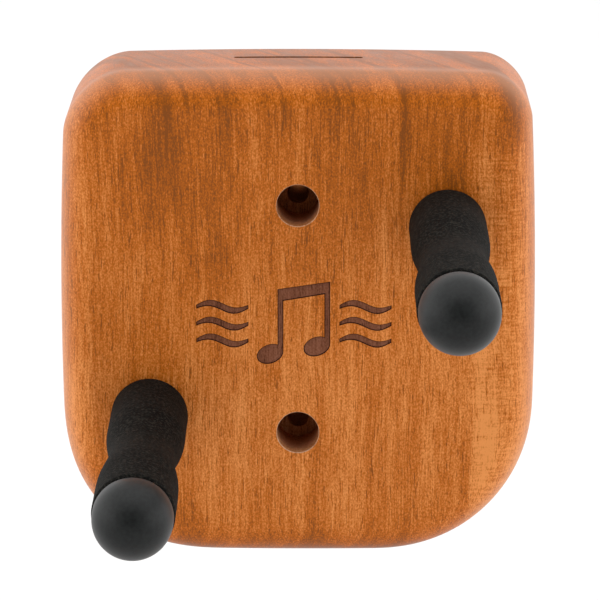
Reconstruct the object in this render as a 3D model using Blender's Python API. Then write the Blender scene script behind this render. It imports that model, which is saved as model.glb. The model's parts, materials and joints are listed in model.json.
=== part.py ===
"""A wall hanger for a guitar: a thick hardwood block with two sleeved steel pegs.

The origin is at the centre of the block's back, on the wall plane. The front faces -Y and +Z is up.
The guitar's neck stands between the pegs, which sit at two heights, and the headstock rests on them.
"""
import math

import bmesh
import bpy

# Hardwood block
BLOCK_WIDTH = 0.1100
BLOCK_HEIGHT = 0.1148
BLOCK_DEPTH = 0.0346
FRONT_ROUND = 0.0083
BACK_ROUND = 0.0015
SIDE_BOW = 0.0017
END_BOW = 0.0009
TOP_RIGHT_CORNER = 0.0108
TOP_LEFT_CORNER = 0.0144
BOTTOM_LEFT_CORNER = 0.0370
BOTTOM_RIGHT_CORNER = 0.0366
TOP_SQUARENESS = 1.90
BOTTOM_LEFT_SQUARENESS = 2.50
BOTTOM_RIGHT_SQUARENESS = 2.18
CORNER_STEPS = 9
RUN_STEP = 0.012

# Two holes for wall screws, one above the other
SCREW_SPACING = 0.0539
SCREW_HOLE = 0.0050
COUNTERBORE = 0.0100
COUNTERBORE_DEPTH = 0.0140
MOUTH_CHAMFER = 0.0004

# Slot for spare picks, in the top of the block
SLOT_WIDTH = 0.0300
SLOT_GAP = 0.0016
SLOT_DEPTH = 0.0150
SLOT_FROM_BACK = 0.0122
SLOT_END_ROUND = 0.0007

# Pegs: places on the block, and the steel rod
PEG_SIDE_INSET = 0.0207
LEFT_PEG_FROM_BOTTOM = 0.0348
RIGHT_PEG_FROM_TOP = 0.0352
ROD = 0.0100
ROD_CHAMFER = 0.0005
ROD_IN_CAP = 0.0062
GROOVE_DEPTH = 0.0005
GROOVE_LENGTH = 0.0022

# Foam sleeve, measured from the front of the block
SLEEVE_BASE = 0.0178
SLEEVE_WAIST = 0.0149
SLEEVE_FLARE = 0.0180
SLEEVE_LENGTH = 0.0790
WAIST_START = 0.0200
WAIST_CENTRE = 0.0395
FLARE_START = 0.0630
SLEEVE_EDGE = 0.0012

# Rubber end cap
CAP = 0.0174
CAP_RIM = 0.0022
CAP_EDGE = 0.0008
CAP_DOME = 0.0097
LIP_LENGTH = 0.0012

# Bolt and washers that pull the rod into the block from behind (M6)
THREAD = 0.0060
THREAD_ENGAGEMENT = 0.0120
DRILL_POINT = 0.6
HEAD = 0.0100
HEAD_HEIGHT = 0.0060
HEX_SOCKET = 0.0050
HEX_SOCKET_DEPTH = 0.0030
HEAD_CHAMFER = 0.0006
WASHER = 0.0120
WASHER_THICKNESS = 0.0016
LOCK_WASHER = 0.0110
LOCK_WASHER_THICKNESS = 0.0016
LOCK_WASHER_SPLIT = 0.0008
SPLIT_SLANT_DEGREES = 25
REAR_BORE = 0.0160
REAR_BORE_MARGIN = 0.0010
WEB = 0.0060

# Gap between pieces that touch or turn on each other, and extra length of every cutter
CLEARANCE = 0.0003
OVERSHOOT = 0.0040

# Facets of round pieces
ROUND_STEPS = 32
SMALL_ROUND_STEPS = 24
FRONT_ROUND_STEPS = 6
BACK_ROUND_STEPS = 2
EDGE_STEPS = 3
CURVE_STEPS = 6
DOME_STEPS = 9

HALF_WIDTH = BLOCK_WIDTH / 2
HALF_HEIGHT = BLOCK_HEIGHT / 2
PEGS = {
    "left": (PEG_SIDE_INSET - HALF_WIDTH, LEFT_PEG_FROM_BOTTOM - HALF_HEIGHT),
    "right": (HALF_WIDTH - PEG_SIDE_INSET, HALF_HEIGHT - RIGHT_PEG_FROM_TOP),
}

# Distances along a peg are measured outwards from the front of the block, so they are negative inside it
BACK = -BLOCK_DEPTH
STACK = WASHER_THICKNESS + LOCK_WASHER_THICKNESS + 3 * CLEARANCE
REAR_BORE_FLOOR = BACK + REAR_BORE_MARGIN + HEAD_HEIGHT + STACK
ROD_BORE_FLOOR = REAR_BORE_FLOOR + WEB
CLEARANCE_HOLE = THREAD + 2 * CLEARANCE
ROD_BORE = ROD + 2 * CLEARANCE
CAP_START = SLEEVE_LENGTH + 2 * CLEARANCE
CAP_SHOULDER = CAP_START + CAP_RIM
ROD_START = ROD_BORE_FLOOR + CLEARANCE
ROD_END = CAP_START + ROD_IN_CAP
GROOVE = ROD - 2 * GROOVE_DEPTH
LIP_START = CAP_START + CAP_EDGE
GROOVE_START = LIP_START - (GROOVE_LENGTH - LIP_LENGTH) / 2


def clear_scene():
    for item in list(bpy.data.objects):
        bpy.data.objects.remove(item, do_unlink=True)


def finish(name, colour, roughness, metallic=0.0):
    """A plain material; the colour is linear."""
    material = bpy.data.materials.new(name)
    material.use_nodes = True
    shader = material.node_tree.nodes["Principled BSDF"]
    shader.inputs["Base Color"].default_value = (*colour, 1.0)
    shader.inputs["Roughness"].default_value = roughness
    shader.inputs["Metallic"].default_value = metallic
    return material


def add_object(name, bm, material=None, parent=None, sharp_angle=35):
    """Turn a bmesh into a named object whose origin is its parent's."""
    bmesh.ops.remove_doubles(bm, verts=bm.verts, dist=1e-7)
    bmesh.ops.recalc_face_normals(bm, faces=bm.faces)
    mesh = bpy.data.meshes.new(name)
    bm.to_mesh(mesh)
    bm.free()
    mesh.shade_smooth()
    mesh.set_sharp_from_angle(angle=math.radians(sharp_angle))
    item = bpy.data.objects.new(name, mesh)
    bpy.context.collection.objects.link(item)
    if material:
        mesh.materials.append(material)
    if parent:
        item.parent = parent
    return item


def cut(target, cutter):
    """Cut one object out of another; the cutter stays in the file as a guide."""
    cutter.hide_render = True
    cutter.display_type = "WIRE"
    modifier = target.modifiers.new(cutter.name, "BOOLEAN")
    modifier.operation = "DIFFERENCE"
    modifier.object = cutter


def turned(profile, steps, closed=False):
    """Spin a profile of (radius, distance along the peg) round the peg's axis."""
    bm = bmesh.new()
    verts = [bm.verts.new((radius, -along, 0)) for radius, along in profile]
    edges = [bm.edges.new(pair) for pair in zip(verts, verts[1:])]
    if closed:
        edges.append(bm.edges.new((verts[-1], verts[0])))
    bmesh.ops.spin(
        bm, geom=verts + edges, cent=(0, 0, 0), axis=(0, 1, 0),
        angle=math.tau, steps=steps, use_merge=True,
    )
    return bm


def arc(centre_radius, centre_along, size_radius, size_along, start, end, steps):
    """Points of an elliptical arc in a turned profile, with its angles in degrees."""
    points = []
    for step in range(steps + 1):
        angle = math.radians(start + (end - start) * step / steps)
        radius = centre_radius + size_radius * math.cos(angle)
        points.append((radius, centre_along + size_along * math.sin(angle)))
    return points


def corner(centre_x, centre_z, radius, squareness, quadrant):
    """One corner of the block: a quarter of a superellipse, counterclockwise."""
    points = []
    for step in range(CORNER_STEPS + 1):
        angle = math.radians(90 * (quadrant + step / CORNER_STEPS))
        cos, sin = math.cos(angle), math.sin(angle)
        x = centre_x + math.copysign(radius * abs(cos) ** (2 / squareness), cos)
        z = centre_z + math.copysign(radius * abs(sin) ** (2 / squareness), sin)
        points.append((x, z))
    return points


def block_outline():
    """The block's outline seen from the front: tight corners above, wide ones below, sides a little bowed."""
    corners = (
        (1, 1, TOP_RIGHT_CORNER, TOP_SQUARENESS),
        (-1, 1, TOP_LEFT_CORNER, TOP_SQUARENESS),
        (-1, -1, BOTTOM_LEFT_CORNER, BOTTOM_LEFT_SQUARENESS),
        (1, -1, BOTTOM_RIGHT_CORNER, BOTTOM_RIGHT_SQUARENESS),
    )
    outline = []
    for quadrant, (side, end, radius, squareness) in enumerate(corners):
        centre_x = side * (HALF_WIDTH - radius)
        centre_z = end * (HALF_HEIGHT - radius)
        outline += corner(centre_x, centre_z, radius, squareness, quadrant)
    points = []
    for (x, z), (next_x, next_z) in zip(outline, outline[1:] + outline[:1]):
        pieces = max(1, round(math.hypot(next_x - x, next_z - z) / RUN_STEP))
        for piece in range(pieces):
            share = piece / pieces
            points.append((x + (next_x - x) * share, z + (next_z - z) * share))
    return [
        (x - SIDE_BOW * x / HALF_WIDTH * (z / HALF_HEIGHT) ** 2,
         z - END_BOW * z / HALF_HEIGHT * (x / HALF_WIDTH) ** 2)
        for x, z in points
    ]


def round_over(bm, along_y, offset, segments):
    """Round the edge loop that lies in the plane at along_y."""
    edges = [
        edge for edge in bm.edges
        if all(abs(vert.co.y - along_y) < 1e-6 for vert in edge.verts)
    ]
    bmesh.ops.bevel(
        bm, geom=edges, offset=offset, offset_type="OFFSET", affect="EDGES",
        segments=segments, profile=0.5, material=-1,
    )


def make_block(material):
    """The block: extruded outline with a large roundover in front and eased edges behind."""
    bm = bmesh.new()
    face = bm.faces.new([bm.verts.new((x, 0, z)) for x, z in block_outline()])
    extruded = bmesh.ops.extrude_face_region(bm, geom=[face])["geom"]
    moved = [item for item in extruded if isinstance(item, bmesh.types.BMVert)]
    bmesh.ops.translate(bm, verts=moved, vec=(0, -BLOCK_DEPTH, 0))
    round_over(bm, -BLOCK_DEPTH, FRONT_ROUND, FRONT_ROUND_STEPS)
    round_over(bm, 0, BACK_ROUND, BACK_ROUND_STEPS)
    return add_object("mounting_block", bm, material, sharp_angle=30)


def cut_screw_hole(block, name, z):
    """A counterbored hole with a small chamfer at its mouth."""
    bore = COUNTERBORE / 2
    hole = SCREW_HOLE / 2
    profile = [
        (0, OVERSHOOT),
        (bore + MOUTH_CHAMFER + OVERSHOOT, OVERSHOOT),
        (bore, -MOUTH_CHAMFER),
        (bore, -COUNTERBORE_DEPTH),
        (hole, -COUNTERBORE_DEPTH),
        (hole, BACK - OVERSHOOT),
        (0, BACK - OVERSHOOT),
    ]
    cutter = add_object(name, turned(profile, ROUND_STEPS))
    cutter.location = (0, -BLOCK_DEPTH, z)
    cut(block, cutter)


def cut_pick_slot(block):
    """A thin slot with round ends, cut down into the block's top."""
    bm = bmesh.new()
    bmesh.ops.create_cube(bm, size=1.0)
    bmesh.ops.scale(bm, verts=bm.verts, vec=(SLOT_WIDTH, SLOT_GAP, SLOT_DEPTH + OVERSHOOT))
    upright = [edge for edge in bm.edges if abs(edge.verts[0].co.z - edge.verts[1].co.z) > SLOT_DEPTH]
    bmesh.ops.bevel(
        bm, geom=upright, offset=SLOT_END_ROUND, offset_type="OFFSET", affect="EDGES",
        segments=EDGE_STEPS, profile=0.5, material=-1,
    )
    cutter = add_object("pick_slot_cutter", bm)
    cutter.location = (0, -SLOT_FROM_BACK, HALF_HEIGHT + (OVERSHOOT - SLOT_DEPTH) / 2)
    cut(block, cutter)


def cut_peg_bore(block, name, axis):
    """Blind bore for the rod in front, counterbore for the bolt head behind, clearance hole between."""
    rod_bore = ROD_BORE / 2
    hole = CLEARANCE_HOLE / 2
    rear_bore = REAR_BORE / 2
    profile = [
        (0, OVERSHOOT),
        (rod_bore, OVERSHOOT),
        (rod_bore, ROD_BORE_FLOOR),
        (hole, ROD_BORE_FLOOR),
        (hole, REAR_BORE_FLOOR),
        (rear_bore, REAR_BORE_FLOOR),
        (rear_bore, BACK - OVERSHOOT),
        (0, BACK - OVERSHOOT),
    ]
    cutter = add_object(name, turned(profile, ROUND_STEPS), parent=axis)
    cut(block, cutter)


def make_rod(name, material, axis):
    """A turned steel rod: tapped at its rear end, with a groove near its front end for the cap's lip."""
    radius = ROD / 2
    tapped = CLEARANCE_HOLE / 2
    groove = GROOVE / 2
    hole_end = ROD_START + THREAD_ENGAGEMENT + CLEARANCE
    profile = [
        (0, hole_end + DRILL_POINT * tapped),
        (tapped, hole_end),
        (tapped, ROD_START),
        (radius - ROD_CHAMFER, ROD_START),
        (radius, ROD_START + ROD_CHAMFER),
        (radius, GROOVE_START),
        (groove, GROOVE_START),
        (groove, GROOVE_START + GROOVE_LENGTH),
        (radius, GROOVE_START + GROOVE_LENGTH),
        (radius, ROD_END - ROD_CHAMFER),
        (radius - ROD_CHAMFER, ROD_END),
        (0, ROD_END),
    ]
    return add_object(name, turned(profile, SMALL_ROUND_STEPS), material, axis)


def sleeve_radius(along):
    """Dog-bone outline of the sleeve: a base, a waist and a wider flare, joined by cosine curves."""
    base, waist, flare = SLEEVE_BASE / 2, SLEEVE_WAIST / 2, SLEEVE_FLARE / 2
    if along <= WAIST_START:
        return base
    if along <= WAIST_CENTRE:
        turn = math.pi * (along - WAIST_START) / (WAIST_CENTRE - WAIST_START)
        return (base + waist) / 2 + (base - waist) / 2 * math.cos(turn)
    if along <= FLARE_START:
        turn = math.pi * (along - WAIST_CENTRE) / (FLARE_START - WAIST_CENTRE)
        return (waist + flare) / 2 - (flare - waist) / 2 * math.cos(turn)
    return flare


def make_sleeve(name, material, axis):
    """A moulded foam sleeve that turns on the rod."""
    bore = ROD_BORE / 2
    start = CLEARANCE
    end = CLEARANCE + SLEEVE_LENGTH
    profile = [(bore, end), (bore, start)]
    base_centre = SLEEVE_BASE / 2 - SLEEVE_EDGE
    profile += arc(base_centre, start + SLEEVE_EDGE, SLEEVE_EDGE, SLEEVE_EDGE, -90, 0, EDGE_STEPS)
    for span_start, span_end in ((WAIST_START, WAIST_CENTRE), (WAIST_CENTRE, FLARE_START)):
        for step in range(CURVE_STEPS):
            along = span_start + (span_end - span_start) * step / CURVE_STEPS
            profile.append((sleeve_radius(along), along))
    profile.append((sleeve_radius(FLARE_START), FLARE_START))
    flare_centre = SLEEVE_FLARE / 2 - SLEEVE_EDGE
    profile += arc(flare_centre, end - SLEEVE_EDGE, SLEEVE_EDGE, SLEEVE_EDGE, 0, 90, EDGE_STEPS)
    return add_object(name, turned(profile, ROUND_STEPS, closed=True), material, axis, sharp_angle=50)


def make_cap(name, material, axis):
    """A domed rubber cap, held on the rod by a lip that snaps into the rod's groove."""
    outer = CAP / 2
    socket = ROD_BORE / 2
    lip = GROOVE / 2 + CLEARANCE
    profile = [(0, ROD_END + CLEARANCE), (socket, ROD_END + CLEARANCE)]
    profile += [(socket, LIP_START + LIP_LENGTH), (lip, LIP_START + LIP_LENGTH)]
    profile += [(lip, LIP_START), (socket, LIP_START - (socket - lip)), (socket, CAP_START)]
    profile += arc(outer - CAP_EDGE, CAP_START + CAP_EDGE, CAP_EDGE, CAP_EDGE, -90, 0, EDGE_STEPS)
    profile += arc(0, CAP_SHOULDER, outer, CAP_DOME, 0, 90, DOME_STEPS)
    return add_object(name, turned(profile, ROUND_STEPS), material, axis, sharp_angle=50)


def make_bolt(name, material, axis):
    """A socket-head bolt, driven from behind the block."""
    head = HEAD / 2
    shank = THREAD / 2
    head_front = REAR_BORE_FLOOR - STACK
    head_back = head_front - HEAD_HEIGHT
    tip = ROD_START + THREAD_ENGAGEMENT
    profile = [
        (0, head_back),
        (head - HEAD_CHAMFER, head_back),
        (head, head_back + HEAD_CHAMFER),
        (head, head_front),
        (shank, head_front),
        (shank, tip - ROD_CHAMFER),
        (shank - ROD_CHAMFER, tip),
        (0, tip),
    ]
    bolt = add_object(name, turned(profile, SMALL_ROUND_STEPS), material, axis)
    bm = bmesh.new()
    bmesh.ops.create_cone(
        bm, cap_ends=True, segments=6, radius1=HEX_SOCKET / math.sqrt(3), radius2=HEX_SOCKET / math.sqrt(3),
        depth=2 * HEX_SOCKET_DEPTH,
    )
    socket = add_object(name + "_socket_cutter", bm, parent=axis)
    socket.location = (0, -head_back, 0)
    socket.rotation_euler = (math.radians(90), 0, 0)
    cut(bolt, socket)
    return bolt


def ring(inner, outer, start, thickness):
    """Profile of a flat ring."""
    end = start + thickness
    return [(inner, start), (outer, start), (outer, end), (inner, end)]


def make_washers(side, plain_material, lock_material, axis):
    """A split lock washer under the bolt head, and a plain washer between it and the wood."""
    bore = CLEARANCE_HOLE / 2
    plain_start = REAR_BORE_FLOOR - CLEARANCE - WASHER_THICKNESS
    profile = ring(bore, WASHER / 2, plain_start, WASHER_THICKNESS)
    plain = turned(profile, SMALL_ROUND_STEPS, closed=True)
    add_object(side + "_plain_washer", plain, plain_material, axis)

    lock_start = plain_start - CLEARANCE - LOCK_WASHER_THICKNESS
    profile = ring(bore, LOCK_WASHER / 2, lock_start, LOCK_WASHER_THICKNESS)
    name = side + "_lock_washer"
    washer = add_object(name, turned(profile, SMALL_ROUND_STEPS, closed=True), lock_material, axis)
    bm = bmesh.new()
    bmesh.ops.create_cube(bm, size=1.0)
    size = (LOCK_WASHER_SPLIT, 3 * LOCK_WASHER_THICKNESS, LOCK_WASHER)
    bmesh.ops.scale(bm, verts=bm.verts, vec=size)
    split = add_object(name + "_split_cutter", bm, parent=axis)
    split.location = (0, -lock_start - LOCK_WASHER_THICKNESS / 2, LOCK_WASHER / 2)
    split.rotation_euler = (0, 0, math.radians(SPLIT_SLANT_DEGREES))
    cut(washer, split)


def main():
    clear_scene()
    wood = finish("oiled_mahogany", (0.47, 0.14, 0.03), 0.50)
    foam = finish("black_moulded_foam", (0.020, 0.018, 0.016), 0.90)
    rubber = finish("black_satin_rubber", (0.028, 0.029, 0.030), 0.50)
    steel = finish("turned_steel", (0.55, 0.56, 0.57), 0.30, 1.0)
    zinc = finish("zinc_plated_steel", (0.62, 0.64, 0.66), 0.35, 1.0)
    spring_steel = finish("spring_steel", (0.20, 0.21, 0.22), 0.40, 1.0)

    block = make_block(wood)
    cut_screw_hole(block, "upper_screw_hole_cutter", SCREW_SPACING / 2)
    cut_screw_hole(block, "lower_screw_hole_cutter", -SCREW_SPACING / 2)
    cut_pick_slot(block)

    for side, (x, z) in PEGS.items():
        axis = bpy.data.objects.new(side + "_peg_axis", None)
        bpy.context.collection.objects.link(axis)
        axis.location = (x, -BLOCK_DEPTH, z)
        cut_peg_bore(block, side + "_peg_bore_cutter", axis)
        make_rod(side + "_peg_rod", steel, axis)
        make_sleeve(side + "_foam_sleeve", foam, axis)
        make_cap(side + "_end_cap", rubber, axis)
        make_bolt(side + "_peg_bolt", zinc, axis)
        make_washers(side, zinc, spring_steel, axis)


main()
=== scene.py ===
"""Looks for a wall guitar hanger: a hardwood block with two foam-sleeved steel pegs."""
import json
import math

import bmesh
import bpy
from mathutils import Matrix, Vector, noise


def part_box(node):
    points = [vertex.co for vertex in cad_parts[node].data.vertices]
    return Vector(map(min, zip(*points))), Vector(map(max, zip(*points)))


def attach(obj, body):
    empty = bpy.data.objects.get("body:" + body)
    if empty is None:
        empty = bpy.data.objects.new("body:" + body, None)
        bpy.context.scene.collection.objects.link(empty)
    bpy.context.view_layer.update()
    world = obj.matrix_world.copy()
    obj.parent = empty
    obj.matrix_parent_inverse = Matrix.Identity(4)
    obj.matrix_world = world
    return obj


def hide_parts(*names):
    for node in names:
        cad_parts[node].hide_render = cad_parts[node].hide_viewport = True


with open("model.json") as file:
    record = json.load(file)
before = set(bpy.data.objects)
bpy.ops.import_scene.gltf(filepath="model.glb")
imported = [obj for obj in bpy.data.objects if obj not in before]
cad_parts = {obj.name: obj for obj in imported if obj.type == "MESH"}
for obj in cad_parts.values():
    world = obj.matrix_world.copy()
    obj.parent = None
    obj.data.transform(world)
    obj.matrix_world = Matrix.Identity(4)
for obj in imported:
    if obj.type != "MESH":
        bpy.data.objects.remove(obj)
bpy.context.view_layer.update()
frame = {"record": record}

MM = 0.001


# Mounting block
#
# One piece of solid mahogany, sawn and sanded to a rounded outline with its grain upright, then oiled.
# A large roundover runs round the front and the back edge is only eased. Two counterbored holes take
# the wall screws, a thin slot in the top holds spare picks, and the pegs sit in bores from both faces.
block_low, block_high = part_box("mounting_block")
HALF_WIDTH = (block_high[0] - block_low[0]) / 2
HALF_HEIGHT = (block_high[2] - block_low[2]) / 2
FRONT = block_low[1]
BACK = block_high[1]
FRONT_ROUND = 8.3 * MM
BACK_ROUND = 1.5 * MM
SIDE_BOW = 1.7 * MM
END_BOW = 0.9 * MM
# Each corner: side, end, size and squareness, where 2 is a round arc and more is squarer
CORNERS = (
    (1, 1, 10.8 * MM, 1.90),
    (-1, 1, 14.4 * MM, 1.90),
    (-1, -1, 37.0 * MM, 2.50),
    (1, -1, 36.6 * MM, 2.18),
)
CORNER_STEPS = 36
BLOCK_SHARP_ANGLE = 28
FACE_BORDER = 0.3 * MM
RUN_STEP = 2.0 * MM


def block_outline():
    """The outline seen from the front, counterclockwise, with its sides and ends bowed a little."""
    corner_points = []
    for quadrant, (side, end, size, squareness) in enumerate(CORNERS):
        for step in range(CORNER_STEPS + 1):
            angle = math.radians(90 * (quadrant + step / CORNER_STEPS))
            cos, sin = math.cos(angle), math.sin(angle)
            x = side * (HALF_WIDTH - size) + math.copysign(size * abs(cos) ** (2 / squareness), cos)
            z = end * (HALF_HEIGHT - size) + math.copysign(size * abs(sin) ** (2 / squareness), sin)
            corner_points.append((x, z))
    outline = []
    for (x, z), (next_x, next_z) in zip(corner_points, corner_points[1:] + corner_points[:1]):
        length = math.hypot(next_x - x, next_z - z)
        if length < 0.02 * MM:
            continue
        pieces = max(1, round(length / RUN_STEP))
        for piece in range(pieces):
            share = piece / pieces
            outline.append((x + (next_x - x) * share, z + (next_z - z) * share))
    return [
        (x - SIDE_BOW * x / HALF_WIDTH * (z / HALF_HEIGHT) ** 2,
         z - END_BOW * z / HALF_HEIGHT * (x / HALF_WIDTH) ** 2)
        for x, z in outline
    ]


def round_edges_at(bm, y, size, segments):
    """Round the loop of edges that lies in the plane at y."""
    edges = [edge for edge in bm.edges if all(abs(vert.co.y - y) < 1e-6 for vert in edge.verts)]
    bmesh.ops.bevel(
        bm, geom=edges, offset=size, offset_type="OFFSET", affect="EDGES",
        segments=segments, profile=0.5, material=-1,
    )


def add_piece(name, bm, materials, sharp_angle=35):
    """Turn a bmesh into a shaded object at the origin."""
    mesh = bpy.data.meshes.new(name)
    bm.to_mesh(mesh)
    bm.free()
    mesh.shade_smooth()
    mesh.set_sharp_from_angle(angle=math.radians(sharp_angle))
    for material in materials:
        mesh.materials.append(material)
    piece = bpy.data.objects.new(name, mesh)
    bpy.context.scene.collection.objects.link(piece)
    return piece


def spun(profile, centre, steps, closed=False):
    """Spin a profile of (radius, y) round an axis along Y through the centre, given as x and z."""
    bm = bmesh.new()
    verts = [bm.verts.new((centre[0] + radius, y, centre[1])) for radius, y in profile]
    edges = [bm.edges.new(pair) for pair in zip(verts, verts[1:])]
    if closed:
        edges.append(bm.edges.new((verts[-1], verts[0])))
    bmesh.ops.spin(
        bm, geom=verts + edges, cent=(centre[0], 0, centre[1]), axis=(0, 1, 0),
        angle=math.tau, steps=steps, use_merge=True,
    )
    bmesh.ops.remove_doubles(bm, verts=bm.verts, dist=1e-7)
    bmesh.ops.recalc_face_normals(bm, faces=bm.faces)
    return bm


def cut_out(target, cutters):
    """Cut other objects out of a piece, keep the result as its mesh and remove the cutters."""
    group = bpy.data.collections.new("cutters")
    for cutter in cutters:
        group.objects.link(cutter)
    modifier = target.modifiers.new("cuts", "BOOLEAN")
    modifier.operation = "DIFFERENCE"
    modifier.solver = "EXACT"
    modifier.material_mode = "TRANSFER"
    modifier.operand_type = "COLLECTION"
    modifier.collection = group
    shaped = target.evaluated_get(bpy.context.evaluated_depsgraph_get())
    mesh = bpy.data.meshes.new_from_object(shaped)
    target.modifiers.clear()
    target.data = mesh
    for cutter in cutters:
        bpy.data.objects.remove(cutter, do_unlink=True)
    bpy.data.collections.remove(group)


def linear(hex_colour):
    """An sRGB hex colour as linear values."""
    channels = [int(hex_colour[i:i + 2], 16) / 255 for i in (1, 3, 5)]
    return (*(c / 12.92 if c <= 0.04045 else ((c + 0.055) / 1.055) ** 2.4 for c in channels), 1.0)


def add_node(tree, kind, settings):
    """Add a node. A setting is a property, an input's value, an input's link, or a ramp's stops."""
    new = tree.nodes.new(kind)
    for name, value in settings.items():
        if name == "stops":
            elements = new.color_ramp.elements
            while len(elements) < len(value):
                elements.new(1.0)
            for element, (position, colour) in zip(elements, value):
                element.position = position
                element.color = colour if isinstance(colour, tuple) else (colour, colour, colour, 1.0)
        elif isinstance(name, str) and hasattr(new, name):
            setattr(new, name, value)
        elif isinstance(value, bpy.types.NodeSocket):
            tree.links.new(value, new.inputs[name])
        else:
            new.inputs[name].default_value = value
    return new


def new_material(name):
    """An empty material: its tree and its Principled shader."""
    material = bpy.data.materials.new(name)
    material.use_nodes = True
    tree = material.node_tree
    return material, tree, tree.nodes["Principled BSDF"]


# The grain runs up Z. Growth layers stand on edge, turned by this much from straight back into the block,
# so that they show as slanting streaks where the roundover cuts through them.
LAYER_TURN = math.radians(31)
# Dark mineral streaks that fade downwards, in mm: where each meets the front, its half width, where it
# ends and how dark it is
STREAK_FADE = 28
MINERAL_STREAKS = (
    (-29.0, 2.6, 14, 0.8), (-24.5, 1.0, 34, 1.0), (-17.5, 0.9, 36, 1.0), (-3.8, 0.8, 36, 1.0),
    (8.6, 0.7, 38, 1.0), (12.0, 0.8, 36, 1.0), (24.5, 1.8, 18, 0.8), (33.5, 9.0, -8, 0.4),
    (41.4, 1.2, 34, 1.0), (51.4, 4.0, 34, 1.8),
)


def mahogany(name, tones, roughness, bump, gloss):
    """Oiled mahogany. Every pattern lightens or darkens one tone, which a ramp of three colours paints."""
    material, tree, shader = new_material(name)
    place = add_node(tree, "ShaderNodeTexCoord", {}).outputs["Object"]
    in_mm = add_node(tree, "ShaderNodeMapping", {
        "Vector": place, "Scale": (1 / MM,) * 3}).outputs[0]
    layers = add_node(tree, "ShaderNodeMapping", {
        "Vector": in_mm, "Rotation": (0, 0, -LAYER_TURN)}).outputs[0]
    sides = add_node(tree, "ShaderNodeSeparateXYZ", {"Vector": in_mm}).outputs

    def stretched(vector, across, deep, along, detail):
        """Noise around zero whose features have these sizes in mm across, into and along the grain."""
        scaled = add_node(tree, "ShaderNodeMapping", {
            "Vector": vector, "Scale": (1 / across, 1 / deep, 1 / along)}).outputs[0]
        pattern = add_node(tree, "ShaderNodeTexNoise", {
            "Vector": scaled, "Scale": 1.0, "Detail": detail, "Roughness": 0.5}).outputs[0]
        return combined("SUBTRACT", pattern, 0.5)

    def ranged(value, low, high, to_low, to_high):
        """A smooth step from one value to another."""
        return add_node(tree, "ShaderNodeMapRange", {
            "interpolation_type": "SMOOTHSTEP", "Value": value,
            "From Min": low, "From Max": high, "To Min": to_low, "To Max": to_high}).outputs[0]

    def combined(operation, first, second):
        return add_node(tree, "ShaderNodeMath", {"operation": operation, 0: first, 1: second}).outputs[0]

    wander = add_node(tree, "ShaderNodeTexNoise", {
        "Vector": layers, "Scale": 1 / 40, "Detail": 1.0}).outputs["Color"]
    grain = add_node(tree, "ShaderNodeVectorMath", {
        "operation": "MULTIPLY_ADD", 0: wander, 1: (4.0, 4.0, 0.0), 2: layers}).outputs[0]
    across_grain = add_node(tree, "ShaderNodeSeparateXYZ", {"Vector": grain}).outputs["X"]

    # The tone is darker towards the top and lightest below the middle; the dark band along the bottom edge is
    # painted shade, as less light reaches it from below
    height_share = add_node(tree, "ShaderNodeMapRange", {
        "Value": sides["Z"], "From Min": -57.0, "From Max": 57.0}).outputs[0]
    tone = add_node(tree, "ShaderNodeValToRGB", {"Fac": height_share, "stops": (
        (0.00, 0.10), (0.06, 0.44), (0.12, 0.55), (0.30, 0.60), (0.52, 0.52), (0.76, 0.36),
        (0.96, 0.34))}).outputs[0]

    bands = stretched(grain, 8, 40, 260, 2)
    clouds = stretched(grain, 11, 11, 26, 2)
    streaks = stretched(grain, 1.3, 5, 45, 3)
    # Fibres, fainter where the roundover and the ends cut across them
    from_middle = combined("ABSOLUTE", sides["Z"], 0.0)
    cut_across = ranged(from_middle, 46, 54, 1.0, 0.45)
    fibres = combined("MULTIPLY", stretched(grain, 0.32, 0.7, 9, 2), cut_across)
    # End grain drinks more oil and dries darker
    end_grain = ranged(from_middle, 54.5, 57.3, 0.0, 1.0)
    # Cut fibre ends, finer in truth than the third of a millimetre drawn here
    mottle = stretched(grain, 0.32, 0.32, 0.5, 2)
    # Open pores, a quarter of a millimetre wide and 2 to 4 mm long
    pores = ranged(stretched(grain, 0.26, 0.35, 4.2, 1), 0.10, 0.22, 0.0, 1.0)

    # Ribbon figure: fine lines across the grain in a paler strip along the right side
    strip = combined("MULTIPLY", ranged(sides["X"], 38, 43, 0.1, 1.0), ranged(sides["X"], 50, 54, 1.0, 0.3))
    strip = combined("MULTIPLY", strip, ranged(sides["Z"], 34, 46, 1.0, 0.2))
    ribbon = combined("MULTIPLY", stretched(grain, 4, 9, 0.55, 1), strip)

    spots = add_node(tree, "ShaderNodeMath", {
        "operation": "MULTIPLY_ADD", 0: stretched(grain, 0.8, 2.5, 5, 3), 1: 2.0, 2: 0.8}).outputs[0]
    smudge = 0.0
    for x_at_front, half_width, lower_end, darkness in MINERAL_STREAKS:
        middle = x_at_front * math.cos(LAYER_TURN) + FRONT / MM * math.sin(LAYER_TURN) + 2.0
        distance = combined("ABSOLUTE", combined("SUBTRACT", across_grain, middle), 0.0)
        near = ranged(distance, 0.0, half_width, darkness, 0.0)
        faded = combined("MULTIPLY", near, ranged(sides["Z"], lower_end, lower_end + STREAK_FADE, 0.0, 1.0))
        smudge = combined("MAXIMUM", faded, smudge)
    smudge = combined("MULTIPLY", smudge, spots)

    for pattern, amount in (
        (bands, 0.70), (clouds, 0.55), (streaks, 0.62), (fibres, 0.85), (mottle, 1.35), (ribbon, 0.80),
        (pores, -0.50), (smudge, -0.46), (strip, 0.32), (end_grain, -0.20),
    ):
        tone = add_node(tree, "ShaderNodeMath", {
            "operation": "MULTIPLY_ADD", 0: pattern, 1: amount, 2: tone}).outputs[0]
    colour = add_node(tree, "ShaderNodeValToRGB", {"Fac": tone, "stops": tuple(
        (position, linear(hex_colour)) for position, hex_colour in zip((0.0, 0.40, 1.0), tones))}).outputs[0]
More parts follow.
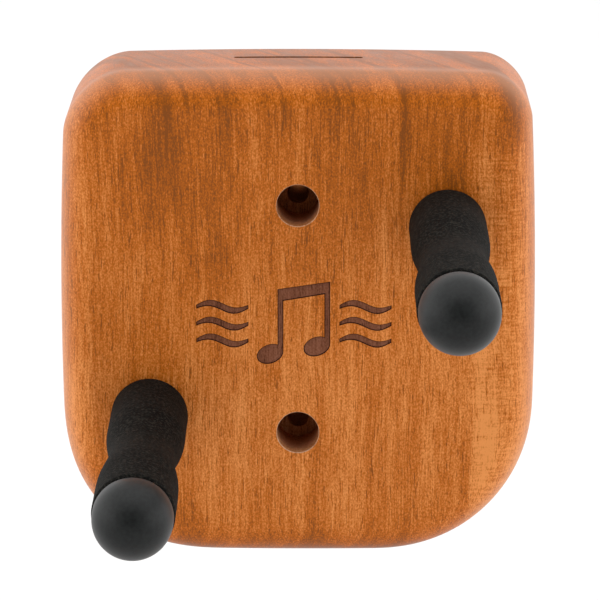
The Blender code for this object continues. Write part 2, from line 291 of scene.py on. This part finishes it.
    # Painted sheen: the front roundover is mixed towards a pale pink that stands in for the bright surround
    # reflected at grazing angles, with less of it towards the bottom edge
    painted_sheen = combined("MULTIPLY", ranged(sides["Y"], FRONT / MM + 0.3, FRONT / MM + 5, 0.0, 0.36),
                      ranged(sides["Y"], FRONT / MM + 7, FRONT / MM + 13, 1.0, 0.1))
    painted_sheen = combined("MULTIPLY", painted_sheen, ranged(sides["Z"], -56, -46, 0.1, 1.0))
    # Mix the pale painted sheen colour into the wood
    colour = add_node(tree, "ShaderNodeMix", {
        "data_type": "RGBA", 0: painted_sheen, 6: colour, 7: linear("#d2a083")}).outputs[2]
    tree.links.new(colour, shader.inputs["Base Color"])
    shine = add_node(tree, "ShaderNodeMath", {
        "operation": "MULTIPLY_ADD", 0: streaks, 1: 0.2, 2: roughness}).outputs[0]
    tree.links.new(shine, shader.inputs["Roughness"])
    shader.inputs["IOR"].default_value = 1.50
    shader.inputs["Specular IOR Level"].default_value = gloss

    height = add_node(tree, "ShaderNodeMath", {
        "operation": "MULTIPLY_ADD", 0: pores, 1: -1.0, 2: fibres}).outputs[0]
    surface = add_node(tree, "ShaderNodeBump", {
        "Height": height, "Strength": bump, "Distance": 0.04 * MM}).outputs[0]
    tree.links.new(surface, shader.inputs["Normal"])
    return material


# Oiled and rubbed back: a satin sheen that pales towards the edges, with more sheen painted into the
# roundover's colour
oiled_wood = mahogany("oiled mahogany, satin", ("#8a4a12", "#c1640f", "#ee9850"), 0.42, 0.25, 0.17)
oiled_shader = oiled_wood.node_tree.nodes["Principled BSDF"]
oiled_shader.inputs["Sheen Weight"].default_value = 0.10
oiled_shader.inputs["Sheen Roughness"].default_value = 0.32
# Drilled walls took up oil and stay dark and dull
drilled_wood = mahogany("mahogany, drilled", ("#794525", "#a66636", "#c68f62"), 0.80, 0.6, 0.0)
# The lips of the screw holes get a pale wood colour: a painted highlight where the rims catch the light
lip_highlight_wood = mahogany("mahogany, painted lip highlight", ("#a97350", "#c39472", "#d9b396"), 0.75, 0.4, 0.1)
# The laser leaves a brown floor that still shows the grain
burnt_floor = mahogany("mahogany, laser burnt", ("#55301f", "#7a4831", "#946048"), 0.75, 0.6, 0.1)
# and a nearly black rim where the beam turned
scorched_rim = mahogany("mahogany, scorched rim", ("#28110a", "#35180f", "#4a281c"), 0.80, 0.4, 0.1)

bm = bmesh.new()
bm.faces.new([bm.verts.new((x, BACK, z)) for x, z in block_outline()])
extruded = bmesh.ops.extrude_face_region(bm, geom=list(bm.faces))["geom"]
moved = [item for item in extruded if isinstance(item, bmesh.types.BMVert)]
bmesh.ops.translate(bm, verts=moved, vec=(0, FRONT - BACK, 0))
bmesh.ops.recalc_face_normals(bm, faces=bm.faces)
round_edges_at(bm, FRONT, FRONT_ROUND, 16)
round_edges_at(bm, BACK, BACK_ROUND, 5)
# A narrow flat border keeps the shading of the large faces true
flat_faces = sorted(bm.faces, key=lambda face: face.calc_area())[-2:]
bmesh.ops.inset_individual(bm, faces=flat_faces, thickness=FACE_BORDER)
block = add_piece("hardwood_block", bm, [oiled_wood], BLOCK_SHARP_ANGLE)

cutters = []
OVERSHOOT = 3 * MM
ROUND_STEPS = 96
SCREW_HOLE = 2.5 * MM
COUNTERBORE = 4.85 * MM
MOUTH = 0.22 * MM
record_mounts = {mount["name"]: mount for mount in frame["record"]["mounts"]}
for name in ("upper_screw_seat", "lower_screw_seat"):
    _, seat_y, hole_z = record_mounts[name]["pos_m"]
    profile = [
        (0, FRONT - OVERSHOOT),
        (COUNTERBORE + MOUTH + OVERSHOOT, FRONT - OVERSHOOT),
        (COUNTERBORE + MOUTH * 0.35, FRONT + MOUTH * 0.35),
        (COUNTERBORE, FRONT + MOUTH * 1.3),
        (COUNTERBORE, seat_y),
        (SCREW_HOLE, seat_y),
        (SCREW_HOLE, BACK + OVERSHOOT),
        (0, BACK + OVERSHOOT),
    ]
    bm = spun(profile, (0, hole_z), ROUND_STEPS)
    # The lip faces take the pale wood, a painted highlight on the rim
    for face in bm.faces:
        if face.calc_center_median().y < FRONT + MOUTH * 1.3:
            face.material_index = 1
    cutters.append(add_piece(name, bm, [drilled_wood, lip_highlight_wood]))


def peg_axis(side):
    """Where a peg's axis crosses the block, as x and z."""
    low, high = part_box(side + "_peg_rod")
    return ((low[0] + high[0]) / 2, (low[2] + high[2]) / 2)


ROD_BORE = 5.3 * MM
BOLT_HOLE = 3.3 * MM
REAR_BORE = 8.0 * MM
REAR_BORE_EDGE = 0.4 * MM
CLEARANCE = 0.3 * MM
for side in ("left", "right"):
    rod_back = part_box(side + "_peg_rod")[1][1]
    washer_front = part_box(side + "_plain_washer")[0][1]
    profile = [
        (0, FRONT - OVERSHOOT),
        (ROD_BORE, FRONT - OVERSHOOT),
        (ROD_BORE, rod_back + CLEARANCE),
        (BOLT_HOLE, rod_back + CLEARANCE),
        (BOLT_HOLE, washer_front - CLEARANCE),
        (REAR_BORE, washer_front - CLEARANCE),
        (REAR_BORE, BACK - REAR_BORE_EDGE),
        (REAR_BORE + REAR_BORE_EDGE + OVERSHOOT, BACK + OVERSHOOT),
        (0, BACK + OVERSHOOT),
    ]
    cutters.append(add_piece(side + "_bore", spun(profile, peg_axis(side), ROUND_STEPS), [drilled_wood]))

SLOT = (30.0 * MM, 1.6 * MM, 15.0 * MM)
SLOT_FROM_BACK = 12.2 * MM
SLOT_END_ROUND = 0.48
bm = bmesh.new()
bmesh.ops.create_cube(bm, size=1.0)
bmesh.ops.scale(bm, verts=bm.verts, vec=(SLOT[0], SLOT[1], SLOT[2] + OVERSHOOT))
upright = [edge for edge in bm.edges if abs(edge.verts[0].co.z - edge.verts[1].co.z) > SLOT[2]]
bmesh.ops.bevel(
    bm, geom=upright, offset=SLOT[1] * SLOT_END_ROUND, offset_type="OFFSET", affect="EDGES",
    segments=6, profile=0.5, material=-1,
)
slot_z = block_high[2] + (OVERSHOOT - SLOT[2]) / 2
bmesh.ops.translate(bm, verts=bm.verts, vec=(0, BACK - SLOT_FROM_BACK, slot_z))
cutters.append(add_piece("pick_slot", bm, [drilled_wood]))


# Engraving
#
# A small laser-engraved ornament between the screw holes, about 44 mm wide: a pair of notes between
# wavy lines. The beam sinks it 0.3 mm and leaves a brown floor inside a darker, sloping rim.
ENGRAVING_CENTRE = (-0.8 * MM, -0.9 * MM)
ENGRAVING_DEPTH = 0.30 * MM
RIM = 0.20 * MM
CURVE_STEPS = 30
WAVE_HEIGHT = 0.9


def engraved(name, outline):
    """A cutter for a flat outline, given in mm from the ornament's centre: sloping rim and flat floor."""
    bm = bmesh.new()
    face = bm.faces.new([
        bm.verts.new((ENGRAVING_CENTRE[0] + x * MM, FRONT - OVERSHOOT, ENGRAVING_CENTRE[1] + z * MM))
        for x, z in outline
    ])
    extruded = bmesh.ops.extrude_face_region(bm, geom=[face], use_keep_orig=True)["geom"]
    moved = [item for item in extruded if isinstance(item, bmesh.types.BMVert)]
    bmesh.ops.translate(bm, verts=moved, vec=(0, OVERSHOOT, 0))
    bmesh.ops.recalc_face_normals(bm, faces=bm.faces)
    floor = next(item for item in extruded if isinstance(item, bmesh.types.BMFace))
    rim = bmesh.ops.inset_region(
        bm, faces=[floor], thickness=RIM, depth=ENGRAVING_DEPTH, use_even_offset=True)["faces"]
    for slope in rim:
        slope.material_index = 1
    return add_piece(name, bm, [burnt_floor, scorched_rim])


def wavy_line(level, start, end):
    """A wavy line, thick in its middle and thin at its ends."""
    above, below = [], []
    for step in range(CURVE_STEPS + 1):
        share = step / CURVE_STEPS
        x = start + (end - start) * share
        z = level + WAVE_HEIGHT * math.sin(share * math.tau)
        thickness = 0.46 + 0.42 * math.sin(math.pi * share)
        above.append((x, z + thickness))
        below.append((x, z - thickness))
    return below + above[::-1]


def beamed_pair(heads, beam_left, beam_right, beam_thickness):
    """Two tilted oval note heads, each with a stem on its right, joined by a slanting beam."""
    half_length, half_width, tilt = 3.2, 2.25, math.radians(22)

    def head(centre_x, centre_z):
        """Round the oval, from the stem's right side under the head to the stem's left side."""
        points = []
        for step in range(CURVE_STEPS + 1):
            angle = math.radians(-20 - 300 * step / CURVE_STEPS)
            across, up = half_length * math.cos(angle), half_width * math.sin(angle)
            points.append((
                centre_x + across * math.cos(tilt) - up * math.sin(tilt),
                centre_z + across * math.sin(tilt) + up * math.cos(tilt),
            ))
        return points

    left, right = head(*heads[0]), head(*heads[1])
    return (
        [(left[-1][0], beam_left), (right[0][0], beam_right)] + right
        + [(right[-1][0], beam_right - beam_thickness - 0.1), (left[0][0], beam_left - beam_thickness + 0.1)]
        + left
    )


ornament = [beamed_pair(((-5.6, -7.2), (5.2, -5.4)), 8.2, 10.0, 2.9)]
for level in (-4.0, 0.0, 4.0):
    ornament.append(wavy_line(level, -22.6, -10.6))
    ornament.append(wavy_line(level, 10.4, 22.4))
for index, outline in enumerate(ornament):
    cutters.append(engraved(f"ornament_{index}", outline))

cut_out(block, cutters)
block.data.shade_smooth()
block.data.set_sharp_from_angle(angle=math.radians(BLOCK_SHARP_ANGLE))
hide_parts("mounting_block")
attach(block, "root")


# Foam sleeves
#
# Dog-bone sleeves of black closed-cell foam, moulded with a soft skin and pushed over the rods.
# Each is widest at its front, where the headstock rests, and turns stiffly on its rod.
SLEEVE_BORE = 5.3 * MM
SLEEVE_BASE = 8.9 * MM
SLEEVE_WAIST = 7.45 * MM
SLEEVE_FLARE = 9.0 * MM
WAIST_START = 20.0 * MM
WAIST_CENTRE = 39.5 * MM
FLARE_START = 63.0 * MM
SLEEVE_EDGE = 1.2 * MM
SLEEVE_RINGS = 110
PEG_STEPS = 112
SKIN_RIPPLE = 0.05 * MM
WIDE_RIPPLE = 7 * MM
NARROW_RIPPLE = 2.2 * MM


def sleeve_radius(along):
    """Radius at a distance from the block: base, waist and flare, joined by cosine curves."""
    if along <= WAIST_START:
        return SLEEVE_BASE
    if along <= WAIST_CENTRE:
        turn = math.pi * (along - WAIST_START) / (WAIST_CENTRE - WAIST_START)
        return (SLEEVE_BASE + SLEEVE_WAIST) / 2 + (SLEEVE_BASE - SLEEVE_WAIST) / 2 * math.cos(turn)
    if along <= FLARE_START:
        turn = math.pi * (along - WAIST_CENTRE) / (FLARE_START - WAIST_CENTRE)
        return (SLEEVE_WAIST + SLEEVE_FLARE) / 2 - (SLEEVE_FLARE - SLEEVE_WAIST) / 2 * math.cos(turn)
    return SLEEVE_FLARE


def moulded_foam():
    """Closed-cell foam with a moulded skin: soft black, finely mottled, with pinhole cells."""
    material, tree, shader = new_material("closed-cell foam, moulded")
    place = add_node(tree, "ShaderNodeTexCoord", {}).outputs["Object"]
    mottle = add_node(tree, "ShaderNodeTexNoise", {
        "Vector": place, "Scale": 1.6 / MM, "Detail": 3.0, "Roughness": 0.6}).outputs[0]
    colour = add_node(tree, "ShaderNodeValToRGB", {"Fac": mottle, "stops": (
        (0.38, linear("#030302")), (0.50, linear("#0b0a08")), (0.64, linear("#2a2823")))}).outputs[0]
    tree.links.new(colour, shader.inputs["Base Color"])
    cells = add_node(tree, "ShaderNodeTexVoronoi", {
        "Vector": place, "Scale": 2.2 / MM, "Randomness": 1.0}).outputs["Distance"]
    height = add_node(tree, "ShaderNodeMath", {
        "operation": "MULTIPLY_ADD", 0: cells, 1: 0.6, 2: mottle}).outputs[0]
    surface = add_node(tree, "ShaderNodeBump", {
        "Height": height, "Strength": 0.6, "Distance": 0.12 * MM}).outputs[0]
    tree.links.new(surface, shader.inputs["Normal"])
    shader.inputs["Roughness"].default_value = 0.86
    shader.inputs["IOR"].default_value = 1.45
    shader.inputs["Specular IOR Level"].default_value = 0.10
    return material


foam = moulded_foam()
for side in ("left", "right"):
    low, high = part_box(side + "_foam_sleeve")
    centre = peg_axis(side)
    base_y, front_y = high[1], low[1]
    length = base_y - front_y
    profile = [(SLEEVE_BORE, front_y + 0.4 * MM), (SLEEVE_BORE, base_y - 0.4 * MM)]
    profile += [(SLEEVE_BORE + 0.3 * MM, base_y - 0.05 * MM)]
    for step in range(7):
        angle = math.radians(90 * step / 6)
        profile.append((SLEEVE_BASE - SLEEVE_EDGE * (1 - math.sin(angle)),
                        base_y - SLEEVE_EDGE * (1 - math.cos(angle))))
    for ring in range(1, SLEEVE_RINGS):
        along = SLEEVE_EDGE + (length - 2 * SLEEVE_EDGE) * ring / SLEEVE_RINGS
        profile.append((sleeve_radius(along), base_y - along))
    for step in range(7):
        angle = math.radians(90 * step / 6)
        profile.append((SLEEVE_FLARE - SLEEVE_EDGE * (1 - math.cos(angle)),
                        front_y + SLEEVE_EDGE * (1 - math.sin(angle))))
    profile += [(SLEEVE_BORE + 0.3 * MM, front_y + 0.05 * MM)]
    bm = spun(profile, centre, PEG_STEPS, closed=True)
    for vert in bm.verts:
        out = Vector((vert.co.x - centre[0], 0, vert.co.z - centre[1]))
        if out.length > SLEEVE_WAIST * 0.9:
            soft = noise.noise(vert.co / WIDE_RIPPLE) + 0.5 * noise.noise(vert.co / NARROW_RIPPLE)
            vert.co += out.normalized() * (SKIN_RIPPLE * soft - 0.4 * SKIN_RIPPLE)
    sleeve = add_piece(side + "_sleeve_foam", bm, [foam], 50)
    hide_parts(side + "_foam_sleeve")
    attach(sleeve, side + "_sleeve")


# End caps
#
# Satin rubber domes that close the pegs. A lip inside snaps into the rod's groove, and a thin rim
# stands just clear of the foam.
def moulded_rubber():
    """Moulded rubber: dark grey, satin, with a faint bloom and a fine matt grain from the mould."""
    material, tree, shader = new_material("moulded rubber, satin")
    place = add_node(tree, "ShaderNodeTexCoord", {}).outputs["Object"]
    bloom = add_node(tree, "ShaderNodeTexNoise", {
        "Vector": place, "Scale": 1.2 / MM, "Detail": 3.0, "Roughness": 0.6}).outputs[0]
    colour = add_node(tree, "ShaderNodeValToRGB", {"Fac": bloom, "stops": (
        (0.38, linear("#060707")), (0.62, linear("#131615")))}).outputs[0]
    tree.links.new(colour, shader.inputs["Base Color"])
    shine = add_node(tree, "ShaderNodeMapRange", {
        "Value": bloom, "To Min": 0.42, "To Max": 0.50}).outputs[0]
    tree.links.new(shine, shader.inputs["Roughness"])
    grit = add_node(tree, "ShaderNodeTexNoise", {
        "Vector": place, "Scale": 4.0 / MM, "Detail": 2.0}).outputs[0]
    surface = add_node(tree, "ShaderNodeBump", {
        "Height": grit, "Strength": 0.25, "Distance": 0.03 * MM}).outputs[0]
    tree.links.new(surface, shader.inputs["Normal"])
    shader.inputs["IOR"].default_value = 1.50
    shader.inputs["Specular IOR Level"].default_value = 0.26
    shader.inputs["Sheen Weight"].default_value = 0.10
    shader.inputs["Sheen Roughness"].default_value = 0.40
    return material


rubber = moulded_rubber()
CAP = 8.7 * MM
CAP_EDGE = 0.8 * MM
CAP_RIM = 2.2 * MM
LIP = 4.8 * MM
LIP_LENGTH = 1.2 * MM
SOCKET = 5.3 * MM
for side in ("left", "right"):
    low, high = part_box(side + "_end_cap")
    rear_y, tip_y = high[1], low[1]
    shoulder_y = rear_y - CAP_RIM
    socket_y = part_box(side + "_peg_rod")[0][1] - CLEARANCE
    profile = [
        (0, socket_y),
        (SOCKET, socket_y),
        (SOCKET, rear_y - CAP_EDGE - LIP_LENGTH),
        (LIP, rear_y - CAP_EDGE - LIP_LENGTH),
        (LIP, rear_y - CAP_EDGE),
        (SOCKET, rear_y - 0.3 * MM),
        (SOCKET + 0.2 * MM, rear_y),
    ]
    for step in range(9):
        angle = math.radians(90 * step / 8)
        profile.append((CAP - CAP_EDGE * (1 - math.sin(angle)), rear_y - CAP_EDGE * (1 - math.cos(angle))))
    for step in range(41):
        angle = math.radians(90 * step / 40)
        profile.append((CAP * math.cos(angle), shoulder_y - (shoulder_y - tip_y) * math.sin(angle)))
    cap = add_piece(side + "_cap_rubber", spun(profile, peg_axis(side), PEG_STEPS), [rubber], 50)
    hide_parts(side + "_end_cap")
    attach(cap, "root")


# Rods, bolts and washers
#
# Bright turned steel rods, pulled into the block from behind by zinc-plated M6 socket-head bolts with
# knurled heads, on a split spring washer and a plain washer.
def metal(name, colour, roughness, lathe_lines):
    """Bare or plated steel with fine lathe or barrel marks."""
    material, tree, shader = new_material(name)
    place = add_node(tree, "ShaderNodeTexCoord", {}).outputs["Object"]
    lines = add_node(tree, "ShaderNodeMapping", {
        "Vector": place, "Scale": (0.4 / MM, lathe_lines / MM, 0.4 / MM)}).outputs[0]
    marks = add_node(tree, "ShaderNodeTexNoise", {"Vector": lines, "Scale": 1.0, "Detail": 3.0}).outputs[0]
    tint = add_node(tree, "ShaderNodeValToRGB", {"Fac": marks, "stops": (
        (0.3, tuple(c * 0.8 for c in linear(colour)[:3]) + (1.0,)), (0.7, linear(colour)))}).outputs[0]
    tree.links.new(tint, shader.inputs["Base Color"])
    shader.inputs["Metallic"].default_value = 1.0
    shine = add_node(tree, "ShaderNodeMapRange", {
        "Value": marks, "To Min": roughness - 0.08, "To Max": roughness + 0.08}).outputs[0]
    tree.links.new(shine, shader.inputs["Roughness"])
    surface = add_node(tree, "ShaderNodeBump", {
        "Height": marks, "Strength": 0.3, "Distance": 0.01 * MM}).outputs[0]
    tree.links.new(surface, shader.inputs["Normal"])
    return material


turned_steel = metal("mild steel, turned", "#c9cacc", 0.30, 6.0)
zinc_plate = metal("steel, zinc plated", "#b9bdc2", 0.34, 0.5)
spring_steel = metal("spring steel, oiled", "#6f7174", 0.38, 0.5)
HEAD = 5.0 * MM
HEAD_HEIGHT = 6.0 * MM
HEAD_EDGE = 0.7 * MM
KNURLS = 48
KNURL_DEPTH = 0.14 * MM
HEX_FLATS = 5.0 * MM
HEX_DEPTH = 3.0 * MM
SHANK = 3.0 * MM
PLAIN_LENGTH = 3.0 * MM
THREAD_PITCH = 1.0 * MM
THREAD_DEPTH = 0.3 * MM
WASHER_BORE = 3.3 * MM
WASHER_EDGE = 0.15 * MM
SPLIT_ANGLE = math.radians(8)
SPLIT_RISE = 0.25 * MM
SPLIT_STEPS = 88
WASHER_STEPS = 96


def add_fastener(piece, node):
    """Let a finished bolt or washer stand for its CAD node."""
    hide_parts(node)
    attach(piece, "root")


def ring_section(inner, outer, front, back, edge):
    """The closed outline of a washer's section as (radius, y), with its corners eased."""
    return [
        (inner, front + edge), (inner, back - edge), (inner + edge, back), (outer - edge, back),
        (outer, back - edge), (outer, front + edge), (outer - edge, front), (inner + edge, front),
    ]


for side, key_turn in (("left", 11), ("right", 37)):
    rod_mesh = bpy.data.objects[side + "_peg_rod"].data
    for index in range(len(rod_mesh.materials)):
        rod_mesh.materials[index] = turned_steel

    centre = peg_axis(side)
    low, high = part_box(side + "_peg_bolt")
    tip, head_back = low[1], high[1]
    head_front = head_back - HEAD_HEIGHT
    profile = [(0, head_back)]
    for step in range(7):
        angle = math.radians(90 * step / 6)
        profile.append((HEAD - HEAD_EDGE * (1 - math.sin(angle)),
                        head_back - HEAD_EDGE * (1 - math.cos(angle))))
    knurl_back = head_back - 1.5 * HEAD_EDGE
    knurl_front = head_front + 0.5 * HEAD_EDGE
    profile += [
        (HEAD, knurl_back), (HEAD, knurl_front), (HEAD - 0.3 * MM, head_front),
        (SHANK + 0.2 * MM, head_front), (SHANK, head_front - 0.2 * MM),
    ]
    turns = int((head_front - PLAIN_LENGTH - tip - SHANK / 4) / THREAD_PITCH)
    for turn in range(turns):
        crest = head_front - PLAIN_LENGTH - turn * THREAD_PITCH
        profile += [(SHANK, crest), (SHANK - THREAD_DEPTH, crest - THREAD_PITCH / 2)]
    profile += [(SHANK - 2 * THREAD_DEPTH, tip), (0, tip)]
    bm = spun(profile, centre, 2 * KNURLS)
    for vert in bm.verts:
        out = Vector((vert.co.x - centre[0], 0, vert.co.z - centre[1]))
        beside_head = knurl_front - 1e-6 < vert.co.y < knurl_back + 1e-6 and out.length > HEAD - 1e-6
        if beside_head and round(math.atan2(out.z, out.x) / math.tau * 2 * KNURLS) % 2:
            vert.co -= out.normalized() * KNURL_DEPTH
    bolt = add_piece(side + "_socket_bolt", bm, [zinc_plate], 40)

    bm = bmesh.new()
    corner = HEX_FLATS / 2 / math.cos(math.radians(30))
    bmesh.ops.create_cone(bm, cap_ends=True, segments=6, radius1=corner, radius2=corner, depth=2 * HEX_DEPTH)
    bmesh.ops.rotate(bm, verts=bm.verts, matrix=Matrix.Rotation(math.radians(90), 3, "X"))
    bmesh.ops.rotate(bm, verts=bm.verts, matrix=Matrix.Rotation(math.radians(key_turn), 3, "Y"))
    bmesh.ops.translate(bm, verts=bm.verts, vec=(centre[0], head_back, centre[1]))
    cut_out(bolt, [add_piece("hex_key", bm, [zinc_plate])])
    bolt.data.set_sharp_from_angle(angle=math.radians(40))
    add_fastener(bolt, side + "_peg_bolt")

    low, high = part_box(side + "_plain_washer")
    section = ring_section(WASHER_BORE, (high[0] - low[0]) / 2, low[1], high[1], WASHER_EDGE)
    bm = spun(section, centre, WASHER_STEPS, closed=True)
    washer = add_piece(side + "_flat_washer", bm, [zinc_plate], 50)
    add_fastener(washer, side + "_plain_washer")

    # The spring washer is one turn of square wire, cut through and sprung a little open
    low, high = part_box(side + "_lock_washer")
    section = ring_section(WASHER_BORE, (high[0] - low[0]) / 2, low[1], high[1] - SPLIT_RISE, WASHER_EDGE)
    bm = bmesh.new()
    end = bm.faces.new([bm.verts.new((centre[0] + radius, y, centre[1])) for radius, y in section])
    bmesh.ops.rotate(
        bm, verts=bm.verts, cent=(centre[0], 0, centre[1]),
        matrix=Matrix.Rotation(math.radians(90) + SPLIT_ANGLE / 2, 3, "Y"))
    bmesh.ops.spin(
        bm, geom=list(bm.verts) + list(bm.edges) + [end], cent=(centre[0], 0, centre[1]), axis=(0, 1, 0),
        angle=math.tau - SPLIT_ANGLE, steps=SPLIT_STEPS, dvec=(0, SPLIT_RISE / SPLIT_STEPS, 0))
    bmesh.ops.recalc_face_normals(bm, faces=bm.faces)
    washer = add_piece(side + "_spring_washer", bm, [spring_steel], 40)
    add_fastener(washer, side + "_lock_washer")


# Studio
#
# A pale floor well below the hanger, a white surround that darkens in front and overhead, and one
# soft box above.
def plain(name, colour, roughness):
    material, tree, shader = new_material(name)
    shader.inputs["Base Color"].default_value = linear(colour)
    shader.inputs["Roughness"].default_value = roughness
    return material


FLOOR_LEVEL = -0.12
bm = bmesh.new()
bmesh.ops.create_grid(bm, x_segments=1, y_segments=1, size=12.0)
bmesh.ops.translate(bm, verts=bm.verts, vec=(0, 0, FLOOR_LEVEL))
floor = add_piece("studio_floor", bm, [plain("matt white paint", "#eaeaea", 0.9)])

WORLD_STRENGTH = 2.4
world = bpy.data.worlds.new("studio surround")
bpy.context.scene.world = world
world.use_nodes = True
tree = world.node_tree
direction = add_node(tree, "ShaderNodeTexCoord", {}).outputs["Generated"]
facing = add_node(tree, "ShaderNodeVectorMath", {
    "operation": "DOT_PRODUCT", 0: direction, 1: (0.0, -0.97, 0.24)}).outputs["Value"]
share = add_node(tree, "ShaderNodeMath", {"operation": "MULTIPLY_ADD", 0: facing, 1: 0.5, 2: 0.5}).outputs[0]
shade = add_node(tree, "ShaderNodeValToRGB", {"Fac": share, "stops": (
    (0.0, 0.44), (0.25, 0.56), (0.5, 0.95), (0.63, 1.0), (0.75, 0.8), (0.86, 0.38), (0.95, 0.08))}).outputs[0]
overhead = add_node(tree, "ShaderNodeSeparateXYZ", {"Vector": direction}).outputs["Z"]
dimmed = add_node(tree, "ShaderNodeMapRange", {
    "Value": overhead, "From Min": 0.3, "From Max": 1.0, "To Min": 1.0, "To Max": 0.5}).outputs[0]
shade = add_node(tree, "ShaderNodeMath", {"operation": "MULTIPLY", 0: shade, 1: dimmed}).outputs[0]
level = add_node(tree, "ShaderNodeMath", {"operation": "MULTIPLY", 0: shade, 1: WORLD_STRENGTH}).outputs[0]
tree.links.new(level, tree.nodes["Background"].inputs["Strength"])
tree.nodes["Background"].inputs["Color"].default_value = (1, 1, 1, 1)


def soft_box(name, place, aim, size, power):
    """A square area light that faces a point."""
    light = bpy.data.lights.new(name, "AREA")
    light.size = size
    light.energy = power
    box = bpy.data.objects.new(name, light)
    bpy.context.scene.collection.objects.link(box)
    box.location = place
    box.rotation_euler = (Vector(aim) - Vector(place)).to_track_quat("-Z", "Y").to_euler()


BOX_SIZE = 1.6
BOX_POWER = 5.5
soft_box("soft_box_above", (0.0, -0.2, 1.5), (0, 0, 0), BOX_SIZE, BOX_POWER)

# Camera: 0.87 m from the front face, 14 degrees above it and almost square on
CAMERA_DISTANCE = 0.8673
CAMERA_RISE = math.radians(13.985)
CAMERA_TURN = math.radians(0.37)
CAMERA_LENS = 226.1
target = Vector((0.507 * MM, FRONT, 4.749 * MM))
backwards = Vector((
    math.sin(CAMERA_TURN) * math.cos(CAMERA_RISE),
    -math.cos(CAMERA_TURN) * math.cos(CAMERA_RISE),
    math.sin(CAMERA_RISE),
))
camera_data = bpy.data.cameras.new("studio_camera")
camera_data.sensor_width = 36.0
camera_data.lens = CAMERA_LENS
camera = bpy.data.objects.new("studio_camera", camera_data)
bpy.context.scene.collection.objects.link(camera)
camera.location = target + backwards * CAMERA_DISTANCE
camera.rotation_euler = (-backwards).to_track_quat("-Z", "Y").to_euler()
bpy.context.scene.camera = camera

bpy.context.scene.view_settings.view_transform = "Standard"
